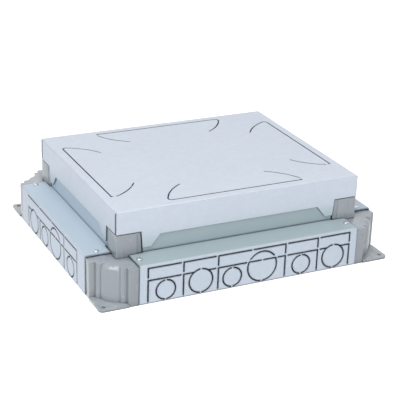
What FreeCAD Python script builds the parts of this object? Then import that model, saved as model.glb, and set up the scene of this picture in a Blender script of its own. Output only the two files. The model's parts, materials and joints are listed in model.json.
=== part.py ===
import FreeCAD, Part
import math
import os

os.makedirs("parts", exist_ok=True)

# Floor socket box for a screed floor: a galvanised steel tray with plastic corner blocks,
# a height-adjustable frame on four levelling screws, and a lift-off protective cover.
# Millimetres, +Z up, origin on the floor at the centre of the base.
# X runs along the long side and the front faces -Y.

# ---- driving dimensions: whole box ----
body_length = 326.0          # outer faces of the short walls, along X
body_width = 276.0           # outer faces of the long walls, along Y
ledge_height = 42.4          # floor to the top of the ledge
overall_height = 88.8        # floor to the top of the cover
rise_travel = 25.0           # height the frame can be raised by

# ---- sheet steel and gaps ----
sheet = 1.2                  # walls, base plate and frame
cover_sheet = 1.0            # protective cover
bracket_sheet = 1.5          # nut brackets
bend_outside = 1.7           # outside radius of every fold
fit_gap = 0.2                # seats between pieces of one body
run_gap = 0.3                # between pieces that move past each other
bore_gap = 0.05              # radial clearance of a shank in its hole
thread_gap = 0.1             # radial clearance of a thread in its nut

# ---- walls ----
ledge_depth = 29.0           # wall's outer face to the neck's outer face
corner_span = 40.7           # body corner to the end of a wall
flange_depth = 20.0          # bottom flange under the base plate
neck_height = 62.0           # floor to the top of the neck upstand
post_cut_gap = 0.5           # ledge edge to corner post

# ---- break-out cuts in the walls ----
slit = 1.4                   # width of a cut line
bridge = 1.9                 # web left between cut lines
cell = 37.75                 # pitch of the break-out cells
cut_foot = 2.4               # lowest point of the cut lines
cut_middle = 25.4            # height of the middle line
cut_top_inset = 3.9          # top line below the ledge
cell_margin = 5.0            # least plain wall beyond the last upright line
conduit_small = 20.5         # break-out for 20 mm conduit
conduit_medium = 25.5        # break-out for 25 mm conduit
conduit_large = 32.5         # break-out for 32 mm conduit
centre_small_offset = -22.0  # small break-out in the double centre cell
centre_large_offset = 11.5   # large break-out in the double centre cell
ring_sides = 24              # sides of a round break-out's cut line

# ---- corner blocks ----
block_wall = 2.2             # moulded wall thickness
block_under_ledge = 1.0      # shadow gap between the ledge and the block's top
lobe_radius = 17.5           # round lobe about the post's corner
lobe_dome = 6.0
shoulder_inset = 6.5         # shoulder face behind the wall's plane
shoulder_start = 24.5        # shoulder's outer side from the body corner
shoulder_round = 3.0
panel_inset = 0.8            # panel face behind the wall's plane
panel_start = 30.3           # panel's outer side from the body corner
panel_round = 1.5
arm_reach = 48.5             # end of the arm behind the wall
foot_thickness = 2.5
foot_corner_radius = 4.5
foot_set_back = 10.0         # foot stops this far before the steel wall
foot_hole_diameter = 4.5
foot_hole_inset = 6.2        # hole centre from both outer edges
guide_wall = 2.0             # wall round the post's slot
post_foot_gap = 1.5          # lowered post's foot to the bottom of its slot
boss_diameter = 7.6          # boss under each ledge screw
boss_spare = 10.0            # boss length below the screw's tip
plate_notch = 31.0           # base plate corner under the block
floor_reach = 52.0           # inner edge of the block's floor

# ---- corner posts ----
post_thickness = 2.0
post_top = 64.3
post_hold = 7.7              # length left in the block with the frame fully raised
post_leg_top = 25.5          # leg width at the top
post_leg = 27.0              # leg width from the ledge down
post_rim = 5.5               # thinner strip along the leg's free edge
post_rim_step = 0.7
pad_width = 10.0
pad_height = 9.0

# ---- levelling screws ----
screw_diameter = 6.0
screw_inset = 13.5           # screw axis from the post's outer faces
screw_spare = 5.0            # thread above the nut bracket with the frame fully raised
journal_diameter = 4.0
journal_foot = 5.0
collar_flats = 8.0
collar_height = 2.0
pillar_top = 14.0
pillar_radius = 7.0
drive_slot_width = 1.2
drive_slot_depth = 2.0
nut_across_flats = 10.0
nut_height = 5.0

# ---- levelling frame ----
frame_gap = 1.0              # frame wall to the neck's inner face
frame_hold = 5.0             # frame wall left inside the neck when fully raised
frame_flange = 12.0          # inward flange that the floor unit sits on
frame_corner_radius = 3.0
gusset = 18.8                # corner plate of the flange
driver_hole = 10.0           # screwdriver hole over each levelling screw
fixing_hole = 4.2            # holes for the floor unit's screws
fixing_spacing = 120.0
bracket_reach = 19.6         # leg of the nut bracket
bracket_height = 20.0
bracket_foot = 50.0

# ---- cover ----
cover_clearance = 0.5        # skirt to neck
skirt_lift = 5.0             # skirt's lower edge above the ledge
seam = 2.5                   # short skirts stop this far from the long ones
notch_margin = 0.8           # notch edge to the corner post
window_height = 17.1         # ledge to the top of the skirt's window
window_top_inset = 46.5      # window's end from the cover corner, at its top
window_foot_inset = 36.0     # and at its foot
flap_slot = 1.2              # cut lines of the bend-down flaps
flap_edge_inset = 10.6       # straight cut from the cover's edge
flap_half_long = 74.6
flap_half_short = 72.0
flap_arc_across = 26.3       # each curved cut: span along the edge
flap_arc_in = 29.5           # and span away from the edge
flap_arc_radius = 65.0
flap_corner_radius = 3.5     # where a straight cut runs on into a curved one
flap_hook = 2.0              # turned-in end of the straight cut, where a web parts it from the curve

# ---- fasteners ----
ledge_screw_inset = 5.5      # from the ledge's end
ledge_screw_depth = 14.0     # from the wall's outer face
ledge_screw_head = 5.6
ledge_screw_shank = 3.0
ledge_screw_length = 10.0
pan_head_height = 2.0
corner_screw_shank = 4.0
corner_screw_head = 7.0
corner_screw_inset = 17.5    # from the post's outer face
shank_sides = 8              # hidden shanks and their bores are drawn eight-sided,
round_sides = 16             # and small heads and holes sixteen-sided
block_screw_shank = 3.5
block_screw_head = 7.0
block_screw_inset = 47.5     # from both body faces
low_head_height = 1.0
stud_diameter = 4.0
stud_line = 10.0             # from the wall's outer face
stud_height = 14.0
stud_end = 78.0              # from the body's left end
washer_diameter = 9.0
washer_thickness = 0.8
earth_nut_flats = 7.0
earth_nut_height = 3.2

# ---- derived places, measured from the body's corner or from the floor ----
half_length = body_length / 2
half_width = body_width / 2
far = body_length + body_width   # beyond any piece, for cuts that are open at one end
plate_top = 2 * sheet
block_top = ledge_height - sheet - block_under_ledge
cover_inset = ledge_depth - cover_clearance - cover_sheet
cover_half_length = half_length - cover_inset
cover_half_width = half_width - cover_inset
post_inner = cover_inset + post_thickness
post_leg_end = cover_inset + post_leg
neck_inner = ledge_depth + sheet
frame_face = neck_inner + frame_gap
frame_inner = frame_face + sheet
frame_top = overall_height - cover_sheet - run_gap
screw_place = cover_inset + screw_inset
stud_x = stud_end - half_length
cut_top = ledge_height - cut_top_inset
post_foot = block_top - rise_travel - post_hold
slot_floor = post_foot - post_foot_gap
frame_foot = neck_height - rise_travel - frame_hold
screw_top = bracket_foot + rise_travel + screw_spare
corner_screw_place = cover_inset + corner_screw_inset
corner_screw_height = post_top - pad_height / 2 - 0.9
skirt_foot = ledge_height + skirt_lift
upstand_start = post_leg_end + post_cut_gap + notch_margin


# ---------------------------------------------------------------- helpers

def vec(x, y, z):
    return FreeCAD.Vector(x, y, z)


def box(x0, x1, y0, y1, z0, z1):
    return Part.makeBox(x1 - x0, y1 - y0, z1 - z0, vec(x0, y0, z0))


def rod(x, y, z0, z1, diameter):
    return Part.makeCylinder(diameter / 2, z1 - z0, vec(x, y, z0))


def moved(shape, x, y, z):
    placed = shape.copy()
    placed.translate(vec(x, y, z))
    return placed


def fuse(shapes):
    shapes = list(shapes)
    return shapes[0].multiFuse(shapes[1:]).removeSplitter()


def rounded_wire(points, place):
    """Closed wire through (a, b, radius) corners, put into space by place(a, b)."""
    edges = []
    starts = []
    count = len(points)
    for index in range(count):
        a, b, radius = points[index]
        before = FreeCAD.Vector(points[index - 1][0] - a, points[index - 1][1] - b, 0)
        after_point = points[(index + 1) % count]
        after = FreeCAD.Vector(after_point[0] - a, after_point[1] - b, 0)
        here = vec(a, b, 0)
        if radius <= 0:
            starts.append((here, here, None))
            continue
        before.normalize()
        after.normalize()
        half = before.getAngle(after) / 2
        reach = radius / math.tan(half)
        middle = (before + after).normalize() * (radius / math.sin(half) - radius)
        starts.append((here + before * reach, here + after * reach, here + middle))
    for index in range(count):
        start, end, middle = starts[index]
        if middle is not None:
            arc = Part.Arc(place(start.x, start.y), place(middle.x, middle.y), place(end.x, end.y))
            edges.append(arc.toShape())
        following = starts[(index + 1) % count][0]
        if end.distanceToPoint(following) > 1e-6:
            edges.append(Part.LineSegment(place(end.x, end.y), place(following.x, following.y)).toShape())
    return Part.Wire(edges)


def prism_z(points, z0, z1):
    wire = rounded_wire(points, lambda a, b: vec(a, b, z0))
    return Part.Face(wire).extrude(vec(0, 0, z1 - z0))


def prism_x(points, x0, x1):
    wire = rounded_wire(points, lambda a, b: vec(x0, a, b))
    return Part.Face(wire).extrude(vec(x1 - x0, 0, 0))


def prism_y(points, y0, y1):
    wire = rounded_wire(points, lambda a, b: vec(a, y0, b))
    return Part.Face(wire).extrude(vec(0, y1 - y0, 0))


def rounded_rectangle(half_x, half_y, radius):
    return [(-half_x, -half_y, radius), (half_x, -half_y, radius),
            (half_x, half_y, radius), (-half_x, half_y, radius)]


def polygon(diameter, sides):
    """Corners of a regular polygon with the given distance across its flats."""
    radius = diameter / 2 / math.cos(math.pi / sides)
    turns = [2 * math.pi * (index + 0.5) / sides for index in range(sides)]
    return [(radius * math.cos(turn), radius * math.sin(turn), 0) for turn in turns]


def polygon_rod(x, y, z0, z1, diameter, sides=shank_sides):
    return moved(prism_z(polygon(diameter, sides), z0, z1), x, y, 0)


def headed_screw(shank, head, head_height, length):
    """Screw pointing down from z = 0, with its head above."""
    cap = polygon_rod(0, 0, 0, head_height, head, round_sides)
    return cap.fuse(polygon_rod(0, 0, -length, 0, shank)).removeSplitter()


def swapped(shape):
    """The same shape with X and Y exchanged."""
    return shape.mirror(vec(0, 0, 0), vec(1, -1, 0))


def both_ways(shape):
    return [shape, swapped(shape)]


def at_corner(shape, side_x, side_y):
    """Moves a shape drawn with the body's corner at (0, 0) to one of the four corners."""
    placed = shape.copy()
    placed.translate(vec(-half_length, -half_width, 0))
    if side_x > 0:
        placed = placed.mirror(vec(0, 0, 0), vec(1, 0, 0))
    if side_y > 0:
        placed = placed.mirror(vec(0, 0, 0), vec(0, 1, 0))
    return placed


corners = {"front_left": (-1, -1), "front_right": (1, -1), "rear_left": (-1, 1), "rear_right": (1, 1)}


def four_corners(shape):
    return [at_corner(shape, side_x, side_y) for side_x, side_y in corners.values()]


def turned(shape, degrees):
    placed = shape.copy()
    placed.rotate(vec(0, 0, 0), vec(0, 0, 1), degrees)
    return placed


def export(name, shapes):
    """Writes one node; a list becomes a group of separate solids."""
    shape = Part.makeCompound(shapes) if isinstance(shapes, list) else shapes
    shape.exportStep("parts/" + name + ".step")


# ---------------------------------------------------------------- side walls

def line_cut(s0, z0, s1, z1):
    """Straight slit in a wall, level or upright, between the centres of its ends."""
    half = slit / 2
    return box(s0 - half, s1 + half, -1, 2 * sheet, z0 - half, z1 + half)


def ring_cut(s, diameter, webs):
    """Round slit resting on the foot line, with webs left at the given boxes."""
    centre_z = cut_foot + diameter / 2
    outside, inside = (moved(prism_y(polygon(diameter + change, ring_sides), -1, 2 * sheet), s, 0, centre_z)
                       for change in (slit, -slit))
    return outside.cut([inside] + webs)


def web(s0, s1, z0, z1):
    return box(s0, s1, -2, 3 * sheet, z0, z1)


def round_break_out(s, diameter):
    """Ring with a web at its top and one at its foot."""
    top = cut_foot + diameter
    return ring_cut(s, diameter, [web(s - bridge / 2, s + bridge / 2, cut_foot - slit, top + slit)])


def large_break_out(s, diameter):
    """Ring crossed by the middle line, with webs just over the line and at the foot."""
    over = cut_middle + slit / 2
    side_web = web(s - diameter, s + diameter, over, over + bridge)
    foot_web = web(s - bridge / 2, s + bridge / 2, cut_foot - slit, cut_foot + slit)
    return ring_cut(s, diameter, [side_web, foot_web])


def chord_half(diameter, z):
    """Half the width of a break-out ring at height z, on its centre line."""
    radius = diameter / 2
    return math.sqrt(max(radius ** 2 - (z - cut_foot - radius) ** 2, 0))


def middle_line(s0, s1, circle=None, diameter=0):
    """Middle line from s0 to s1, stopping at a ring that rises above it."""
    if circle is None:
        return [line_cut(s0, cut_middle, s1, cut_middle)]
    reach = chord_half(diameter, cut_middle)
    return [line_cut(s0, cut_middle, circle - reach, cut_middle),
            line_cut(circle + reach, cut_middle, s1, cut_middle)]


def break_out_cuts(half_side, left_uprights_full):
    """Cut lines of one wall: a double centre cell and single cells on both sides of it.

    As many single cells are cut as the wall has room for. Where left_uprights_full
    is false, the upright lines left of the middle stop at the middle line.
    """
    cuts = []
    web_pitch = bridge + slit
    cells_each_side = int((half_side - corner_span - cell_margin) // cell)
    uprights = [k for k in range(-cells_each_side, cells_each_side + 1) if k != 0]
    for k in uprights:
        cuts.append(line_cut(k * cell, cut_foot + slit / 2, k * cell, cut_middle))
        if k > 0 or left_uprights_full:
            cuts.append(line_cut(k * cell, cut_middle + web_pitch, k * cell, cut_top))
    # single cells: lines join the upright on their outer side and stop short of the other
    singles = [(k, k + 1) for k in range(-cells_each_side, -1)]
    singles += [(k - 1, k) for k in range(2, cells_each_side + 1)]
    for left, right in singles:
        diameter = conduit_medium if left % 2 == 0 else conduit_small
        start = left * cell + (0 if right < 0 else web_pitch)
        end = right * cell - (web_pitch if right < 0 else 0)
        middle = (left + right) / 2 * cell
        cuts.append(line_cut(start, cut_top, end, cut_top))
        cuts.append(round_break_out(middle, diameter))
        if chord_half(diameter, cut_middle) > 0 and cut_foot + diameter > cut_middle:
            cuts += middle_line(start, end, middle, diameter)
        else:
            cuts += middle_line(start, end)
    # double centre cell: a small ring, and a large one that the middle line crosses
    for side in (-1, 1):
        ends = sorted((side * cell, side * web_pitch / 2))
        cuts.append(line_cut(ends[0], cut_top, ends[1], cut_top))
    cuts.append(round_break_out(centre_small_offset, conduit_small))
    cuts.append(large_break_out(centre_large_offset, conduit_large))
    reach = chord_half(conduit_large, cut_middle)
    left_edge = centre_large_offset - reach
    right_edge = centre_large_offset + reach
    cuts += middle_line(-cell, left_edge - web_pitch)
    cuts += middle_line(left_edge, centre_large_offset - web_pitch / 2)
    cuts += middle_line(centre_large_offset + web_pitch / 2, right_edge)
    cuts += middle_line(right_edge + web_pitch, cell)
    return cuts


def side_wall(half_side, cuts):
    """Folded wall drawn as the front one: flange, wall, ledge and neck upstand.

    Its outer face is at y = 0, and s = 0 is the middle of the wall.
    """
    half_wall = half_side - corner_span
    section = [(0, 0, bend_outside), (flange_depth, 0, 0), (flange_depth, sheet, 0),
               (sheet, sheet, 0), (sheet, ledge_height - sheet, 0),
               (neck_inner, ledge_height - sheet, bend_outside), (neck_inner, neck_height, 0),
               (ledge_depth, neck_height, 0), (ledge_depth, ledge_height, 0),
               (0, ledge_height, bend_outside)]
    wall = prism_x(section, -half_wall, half_wall)
    upstand_half = half_side - upstand_start
    ledge_edge = cover_inset - post_cut_gap
    for side in (-1, 1):
        ends = sorted((side * upstand_half, side * (half_wall + 1)))
        wall = wall.cut(box(ends[0], ends[1], ledge_edge, neck_inner + 1, ledge_height - 2 * sheet,
                            neck_height + 1))
    screw_s = half_wall - ledge_screw_inset
    holes = [polygon_rod(side * screw_s, ledge_screw_depth, ledge_height - 2 * sheet, ledge_height + 1,
                         ledge_screw_shank + 2 * bore_gap) for side in (-1, 1)]
    return wall.cut(cuts + holes)


long_cuts = break_out_cuts(half_length, True)
short_cuts = break_out_cuts(half_width, False)

stud_hole = rod(stud_x, stud_line, -1, 2 * sheet, stud_diameter + 2 * bore_gap)
front_wall = side_wall(half_length, long_cuts)
back_wall = turned(moved(front_wall, 0, -half_width, 0), 180)
front_wall = moved(front_wall.cut(stud_hole), 0, -half_width, 0)
short_wall = moved(side_wall(half_width, short_cuts), 0, -half_length, 0)
export("side_wall_front", front_wall)
export("side_wall_back", back_wall)
export("side_wall_left", turned(short_wall, -90))
export("side_wall_right", turned(short_wall, 90))


# ---------------------------------------------------------------- base plate

def base_plate():
    """Sheet spot-welded on top of the wall flanges, notched round each corner block."""
    edge = sheet + fit_gap
    end = corner_span
    corner_points = [(end, edge), (end, plate_notch), (plate_notch, plate_notch),
                     (plate_notch, end), (edge, end)]
    outline = []
    for side_x, side_y in ((-1, -1), (1, -1), (1, 1), (-1, 1)):
        points = [(side_x * (half_length - u), side_y * (half_width - v), 0)
                  for u, v in corner_points]
        outline += points if side_x * side_y < 0 else points[::-1]
    plate = prism_z(outline, sheet, plate_top)
    stud_hole = rod(stud_x, stud_line - half_width, 0, 2 * plate_top, stud_diameter + 2 * bore_gap)
    screw_hole = polygon_rod(block_screw_inset, block_screw_inset, 0, 2 * plate_top,
                             block_screw_shank + 2 * bore_gap)
    return plate.cut([stud_hole] + four_corners(screw_hole))


export("base_plate", base_plate())


# ---------------------------------------------------------------- corner blocks

def fillet_where(shape, radius, chosen):
    edges = [edge for edge in shape.Edges if chosen(edge)]
    return shape.makeFillet(radius, edges)


def is_upright(edge):
    return abs(edge.Vertexes[0].Z - edge.Vertexes[-1].Z) > 1


def domed_lobe(height):
    """Round column with its top edge domed in three conical steps."""
    rings = [(lobe_radius - lobe_dome * (1 - math.cos(math.radians(turn))),
              height - lobe_dome * (1 - math.sin(math.radians(turn)))) for turn in (0, 30, 60, 90)]
    lobe = [Part.makeCylinder(lobe_radius, rings[0][1])]
    for (wide, low), (narrow, high) in zip(rings, rings[1:]):
        lobe.append(Part.makeCone(wide, narrow, high - low, vec(0, 0, low)))
    return moved(turned(fuse(lobe), 45), cover_inset, cover_inset, 0)


def block_mass(height):
    """Outside of the moulding: a domed round lobe, and stepped shoulders and panels beside it."""
    lobe = domed_lobe(height)
    steps = [[(shoulder_start, cover_inset, 0), (shoulder_start, shoulder_inset, shoulder_round),
              (corner_span, shoulder_inset, 0), (corner_span, cover_inset, 0)],
             [(panel_start, cover_inset, 0), (panel_start, panel_inset, panel_round),
              (corner_span - fit_gap, panel_inset, 0), (corner_span - fit_gap, cover_inset, 0)],
             [(corner_span - 2 * block_wall, sheet + fit_gap, 0), (arm_reach, sheet + fit_gap, 0),
              (arm_reach, cover_inset, 0), (corner_span - 2 * block_wall, cover_inset, 0)]]
    pieces = [lobe]
    for outline in steps:
        pieces += both_ways(prism_z(outline, 0, height))
    return fuse(pieces)


def block_hollow(height):
    """Inside of the moulding, one wall thickness behind its outside."""
    wall = block_wall
    lobe = polygon_rod(cover_inset, cover_inset, -1, height - lobe_dome / 2, 2 * (lobe_radius - wall), 12)
    steps = [(shoulder_start + wall, cover_inset, shoulder_inset + wall),
             (panel_start + wall, cover_inset, panel_inset + wall)]
    pieces = [lobe]
    for start, end, face in steps:
        pieces += both_ways(box(start, arm_reach - wall, face, end, -1, height - wall))
    return fuse(pieces)


def corner_block():
    """Hollow plastic block with lobes, foot, post guide, screw bosses and screw pillar."""
    inner = post_inner + run_gap + guide_wall
    keep_out = box(inner, far, inner, far, -2, block_top + 1)
    shell = block_mass(block_top).cut([block_hollow(block_top), keep_out])
    # two walls and a floor that guide the corner post
    guide = fuse(both_ways(box(cover_inset - run_gap - guide_wall, post_leg_end + run_gap + guide_wall,
                               cover_inset - run_gap - guide_wall, inner, 0, block_top)))
    boss_x = corner_span + ledge_screw_inset
    boss_foot = ledge_height - sheet - ledge_screw_length - boss_spare
    bosses = both_ways(polygon_rod(boss_x, ledge_screw_depth, boss_foot, ledge_height - sheet,
                                    boss_diameter))
    boss_holes = both_ways(polygon_rod(boss_x, ledge_screw_depth, boss_foot + boss_spare / 2,
                                        ledge_height, ledge_screw_shank + 2 * bore_gap))
    # ribs carry the bosses from the guide wall
    ribs = both_ways(box(boss_x - 1, boss_x + 1, ledge_screw_depth, cover_inset - run_gap - 1,
                         boss_foot, block_top))
    floor = box(inner - 1, floor_reach, inner - 1, floor_reach, 0, plate_top + 2)
    pillar = polygon_rod(screw_place, screw_place, 0, pillar_top, 2 * pillar_radius, round_sides)
    screw_boss = polygon_rod(block_screw_inset, block_screw_inset, 0, pillar_top, block_screw_head + 1)
    foot_end = corner_span - fit_gap - foot_set_back
    foot = prism_z([(0, 0, foot_corner_radius), (foot_end, 0, 0), (foot_end, panel_start, 0),
                    (panel_start, panel_start, 0), (panel_start, foot_end, 0), (0, foot_end, 0)],
                   0, foot_thickness)
    block = fuse([shell, guide, floor, pillar, screw_boss, foot] + bosses + ribs)
    # slot for the post, bores for the screws, and room for the steel sheet and the frame
    slot = fuse(both_ways(box(cover_inset - run_gap, post_leg_end + run_gap, cover_inset - run_gap,
                              post_inner + run_gap, slot_floor, block_top + 1)))
    socket = rod(screw_place, screw_place, journal_foot - 2 * run_gap, pillar_top + 1,
                 journal_diameter + 2 * bore_gap)
    block_hole = polygon_rod(block_screw_inset, block_screw_inset, -1, pillar_top - 2,
                             block_screw_shank + 2 * bore_gap)
    foot_hole = rod(foot_hole_inset, foot_hole_inset, -1, foot_thickness + 1, foot_hole_diameter)
    plate_room = [box(plate_notch - fit_gap, far, plate_notch - fit_gap, far, -1, plate_top),
                  box(corner_span - fit_gap, far, -1, far, -1, plate_top),
                  box(-1, far, corner_span - fit_gap, far, -1, plate_top)]
    frame_room = both_ways(box(frame_face - run_gap, far, frame_face - run_gap, frame_inner + run_gap,
                               frame_foot - run_gap, block_top + 1))
    return block.cut([slot, socket, block_hole, foot_hole] + boss_holes + plate_room + frame_room)


block = corner_block()
for corner, (side_x, side_y) in corners.items():
    export("corner_block_" + corner, at_corner(block, side_x, side_y))


# ---------------------------------------------------------------- corner posts

def post_leg_solid():
    """One leg of the L-shaped post, with a thinner rim along its slanted free edge."""
    near = cover_inset
    profile = [(near, post_foot, 0), (post_leg_end, post_foot, 0), (post_leg_end, ledge_height, 0),
               (near + post_leg_top, post_top, 0), (near, post_top, 0)]
    leg = prism_y(profile, near, post_inner)
    rim = box(post_leg_end - post_rim, post_leg_end + 1, near - 1, near + post_rim_step,
              post_foot - 1, post_top + 1)
    pad_centre = corner_screw_place
    pad = box(pad_centre - pad_width / 2, pad_centre + pad_width / 2, post_inner - 0.5, frame_face,
              corner_screw_height - pad_height / 2, corner_screw_height + pad_height / 2)
    return leg.cut(rim).fuse(pad)


def corner_screw_axis(shape):
    """Lays a screw that points down at the origin along -Y, at its place in the corner."""
    laid = shape.copy()
    laid.rotate(vec(0, 0, 0), vec(1, 0, 0), -90)
    laid.translate(vec(corner_screw_place, frame_inner + bracket_sheet, corner_screw_height))
    return laid


corner_screw_length = frame_inner + bracket_sheet - post_inner + 1
corner_hole = corner_screw_axis(polygon_rod(0, 0, -corner_screw_length - fit_gap, 1,
                                            corner_screw_shank + 2 * bore_gap))


def corner_post():
    post = fuse(both_ways(post_leg_solid()))
    outer_edge = lambda edge: (is_upright(edge) and edge.BoundBox.XMax < cover_inset + 0.01
                               and edge.BoundBox.YMax < cover_inset + 0.01)
    post = fillet_where(post, 1.0, outer_edge)
    return post.cut(both_ways(corner_hole))


post = corner_post()
for corner, (side_x, side_y) in corners.items():
    export("corner_post_" + corner, at_corner(post, side_x, side_y))


# ---------------------------------------------------------------- levelling frame

def frame_ring():
    """Deep-skirted frame with an inward flange and a screwdriver hole in each corner."""
    def ring_half(inset):
        return half_length - inset, half_width - inset
    outside = prism_z(rounded_rectangle(*ring_half(frame_face), frame_corner_radius),
                      frame_foot, frame_top)
    inside = prism_z(rounded_rectangle(*ring_half(frame_inner), frame_corner_radius - sheet),
                     frame_foot - 1, frame_top - sheet)
    flange_edge = frame_face + frame_flange
    gusset_edge = frame_face + gusset
    corner_points = [(gusset_edge, flange_edge, 0), (gusset_edge, gusset_edge, 6.0),
                     (flange_edge, gusset_edge, 0)]
    opening = []
    for side_x, side_y in ((-1, -1), (1, -1), (1, 1), (-1, 1)):
        points = [(side_x * (half_length - u), side_y * (half_width - v), radius)
                  for u, v, radius in corner_points]
        opening += points if side_x * side_y < 0 else points[::-1]
    cuts = [inside, prism_z(opening, frame_top - 2 * sheet, frame_top + 1)]
    cuts += four_corners(polygon_rod(screw_place, screw_place, frame_top - 2 * sheet, frame_top + 1,
                                     driver_hole, round_sides))
    for hole in both_ways(corner_hole):
        cuts += four_corners(hole)
    fixing_y = half_width - frame_face - frame_flange / 2
    cuts += [rod(side_x * fixing_spacing / 2, side_y * fixing_y, frame_top - 2 * sheet, frame_top + 1,
                 fixing_hole) for side_x in (-1, 1) for side_y in (-1, 1)]
    return outside.cut(cuts)


def nut_bracket():
    """Folded angle inside the frame's corner, with a shelf for the levelling nut."""
    end = frame_inner + bracket_reach
    inner = frame_inner + bracket_sheet
    corner_gap = frame_corner_radius
    tab = box(frame_inner + corner_gap, end, frame_inner, inner, bracket_foot,
              bracket_foot + bracket_height)
    shelf_end = frame_inner + bracket_reach - 2
    shelf = prism_z([(frame_inner, frame_inner, corner_gap), (shelf_end, frame_inner, 0),
                     (shelf_end, screw_place + 2, 0), (screw_place + 2, shelf_end, 0),
                     (frame_inner, shelf_end, 0)], bracket_foot, bracket_foot + bracket_sheet)
    bracket = fuse([shelf] + both_ways(tab))
    thread_hole = polygon_rod(screw_place, screw_place, bracket_foot - 1, bracket_foot + 2 * bracket_sheet,
                              screw_diameter + 2 * run_gap, round_sides)
    return bracket.cut([thread_hole] + both_ways(corner_hole))


def levelling_nut():
    nut = polygon_rod(0, 0, bracket_foot - nut_height, bracket_foot, nut_across_flats, 6)
    bore = polygon_rod(0, 0, bracket_foot - nut_height - 1, bracket_foot + 1,
                       screw_diameter + 2 * thread_gap, round_sides)
    return moved(nut.cut(bore), screw_place, screw_place, 0)


def levelling_screw():
    """Threaded rod with a plain journal below, a hexagonal collar that stands on the pillar and a slot."""
    collar_foot = pillar_top + run_gap / 2
    screw = fuse([rod(0, 0, journal_foot, collar_foot + 0.5, journal_diameter),
                  polygon_rod(0, 0, collar_foot, collar_foot + collar_height, collar_flats, 6),
                  rod(0, 0, collar_foot + 1, screw_top, screw_diameter)])
    drive = box(-screw_diameter, screw_diameter, -drive_slot_width / 2, drive_slot_width / 2,
                screw_top - drive_slot_depth, screw_top + 1)
    return moved(screw.cut(drive), screw_place, screw_place, 0)


export("frame_ring", frame_ring())
bracket = nut_bracket()
screw = levelling_screw()
for corner, (side_x, side_y) in corners.items():
    export("nut_bracket_" + corner, at_corner(bracket, side_x, side_y))
    export("levelling_screw_" + corner, at_corner(screw, side_x, side_y))
export("levelling_nuts", four_corners(levelling_nut()))


# ---------------------------------------------------------------- protective cover

def arc_slot(start, end, radius, centre_side):
    """Curved cut in the cover's top from start to end; its centre lies towards centre_side."""
    chord = vec(end[0] - start[0], end[1] - start[1], 0)
    middle = vec((start[0] + end[0]) / 2, (start[1] + end[1]) / 2, 0)
    across = vec(-chord.y, chord.x, 0).normalize()
    if across.dot(vec(centre_side[0], centre_side[1], 0) - middle) < 0:
        across = across * -1
    centre = middle + across * math.sqrt(radius ** 2 - (chord.Length / 2) ** 2)

    def on_arc(point, reach):
        return centre + (point - centre).normalize() * reach + vec(0, 0, overall_height - 2 * cover_sheet)

    ends = [vec(start[0], start[1], 0), vec(end[0], end[1], 0)]
    far_side = centre - across
    outer, inner = radius + flap_slot / 2, radius - flap_slot / 2
    rim = [on_arc(ends[0], outer), on_arc(far_side, outer), on_arc(ends[1], outer)]
    bed = [on_arc(ends[1], inner), on_arc(far_side, inner), on_arc(ends[0], inner)]
    edges = [Part.Arc(*rim).toShape(), Part.LineSegment(rim[2], bed[0]).toShape(),
             Part.Arc(*bed).toShape(), Part.LineSegment(bed[2], rim[0]).toShape()]
    return Part.Face(Part.Wire(edges)).extrude(vec(0, 0, 3 * cover_sheet))


def flap_cuts(half_edge, half_flap):
    """Cut lines of one bend-down flap, drawn along the front edge at y = -half_edge.

    At its left end the straight cut runs on into the curve; at its right end it has a short
    hook, and a web parts it from the curve.
    """
    edge_y = flap_edge_inset - half_edge
    half = flap_slot / 2
    z0, z1 = overall_height - 2 * cover_sheet, overall_height + cover_sheet
    # the corner arc turns from the straight cut's direction into the long curve's
    chord_turn = math.atan2(flap_arc_in, -flap_arc_across)
    turn = chord_turn - math.asin(math.hypot(flap_arc_in, flap_arc_across) / 2 / flap_arc_radius)
    corner_in = flap_corner_radius * math.sin(turn)
    corner_up = flap_corner_radius * (1 - math.cos(turn))
    cuts = [box(-half_flap + corner_in, half_flap, edge_y - half, edge_y + half, z0, z1),
            box(half_flap - 2 * half, half_flap, edge_y, edge_y + flap_hook, z0, z1),
            arc_slot((-half_flap + corner_in, edge_y), (-half_flap, edge_y + corner_up),
                     flap_corner_radius, (-half_flap + corner_in, edge_y + flap_corner_radius))]
    for side in (-1, 1):
        start = (side * half_flap, edge_y + corner_up)
        end = (side * (half_flap - flap_arc_across), edge_y + corner_up + flap_arc_in)
        cuts.append(arc_slot(start, end, flap_arc_radius, (0, edge_y)))
    return cuts


def skirt_cuts(half_edge, half_side):
    """Window and corner notches of one skirt, drawn as the front one at y = -half_edge."""
    window_top = ledge_height + window_height
    low = skirt_foot - 1
    y0, y1 = -half_edge - 1, -half_edge + cover_sheet + 0.5
    window = prism_y([(-half_side + window_foot_inset, low, 0), (half_side - window_foot_inset, low, 0),
                      (half_side - window_top_inset, window_top, 0),
                      (-half_side + window_top_inset, window_top, 0)], y0, y1)
    cuts = [window]
    for side in (-1, 1):
        notch = [(side * (half_side + 1), low, 0), (side * (half_side - post_leg - notch_margin), low, 0),
                 (side * (half_side - post_leg_top - notch_margin), post_top + notch_margin, 0),
                 (side * (half_side + 1), post_top + notch_margin, 0)]
        cuts.append(prism_y(notch, y0, y1))
    return cuts


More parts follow.
